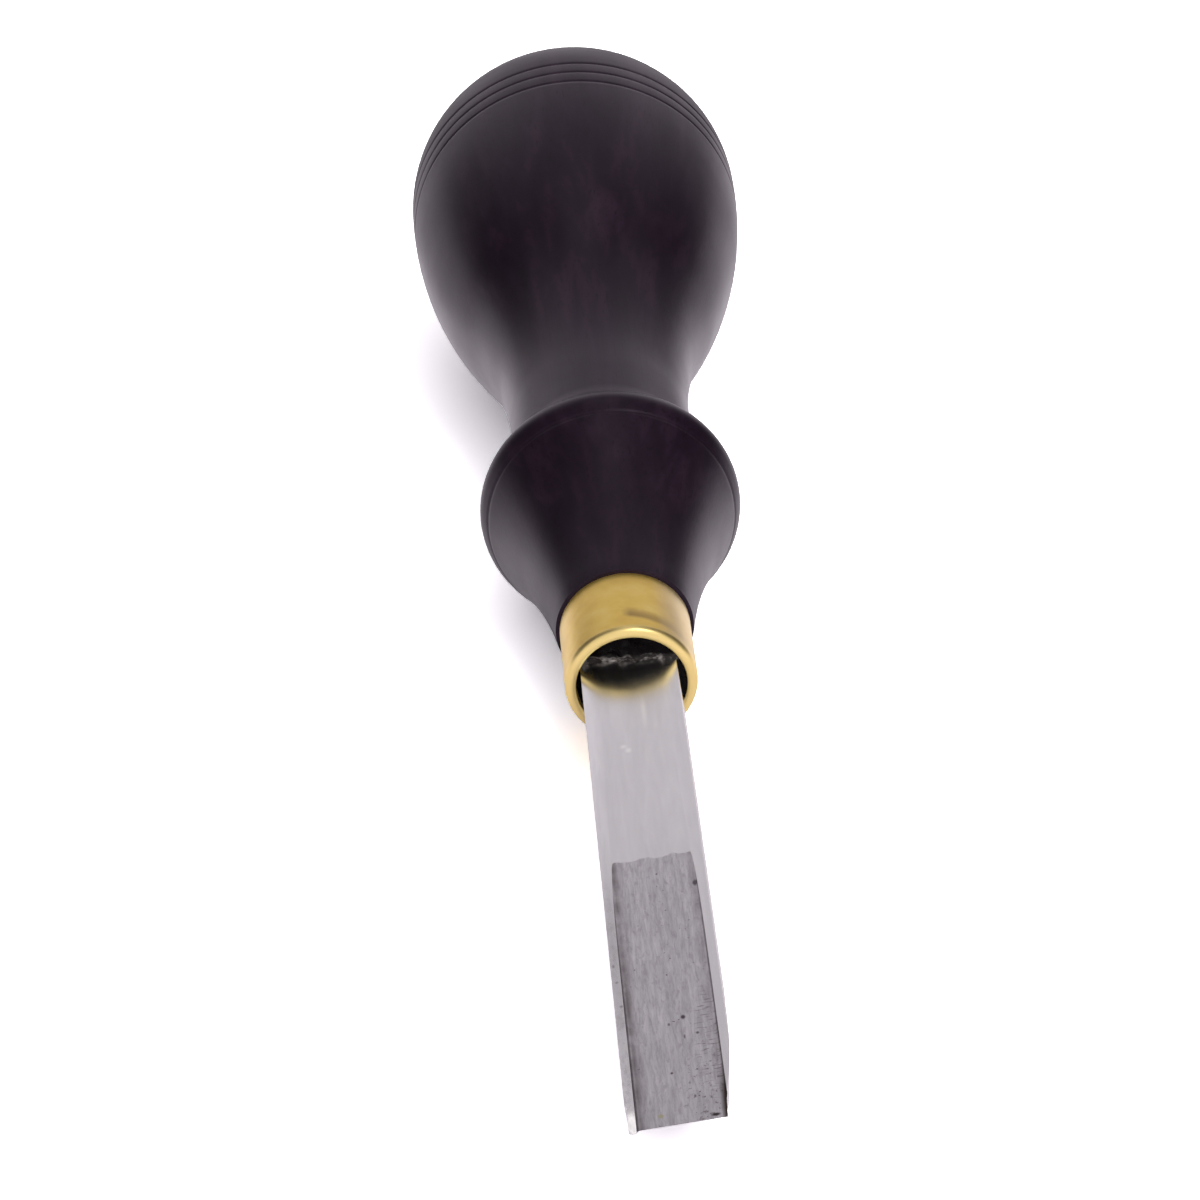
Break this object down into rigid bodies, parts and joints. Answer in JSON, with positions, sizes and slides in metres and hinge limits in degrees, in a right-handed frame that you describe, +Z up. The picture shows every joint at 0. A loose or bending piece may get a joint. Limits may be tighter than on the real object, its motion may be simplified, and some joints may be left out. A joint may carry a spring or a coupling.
{
  "type": "leather edge beveler",
  "caption": "Leather edge beveler with a channelled flat blade, a brass ferrule and a turned hardwood palm handle, for paring the corner off a leather edge.",
  "frame": {"origin": "on the bench under the middle of the tool's length, between the blade's noses and the butt", "axes": "+Y along the tool from the blade to the butt, +Z up with the blade's channelled face upwards, +X to the right seen from behind the blade's tip"},
  "size_m": [0.033, 0.166, 0.0332],
  "materials": {
    "handle": "near-black turned hardwood, satin",
    "ferrule": "satin brass tube",
    "blade": "satin ground steel",
    "bedding_resin": "rough black resin"
  },
  "bodies": {
    "root": {"handle": "handle", "ferrule": "ferrule", "blade": "blade", "bedding_resin": "bedding_resin"}
  },
  "joints": []
}
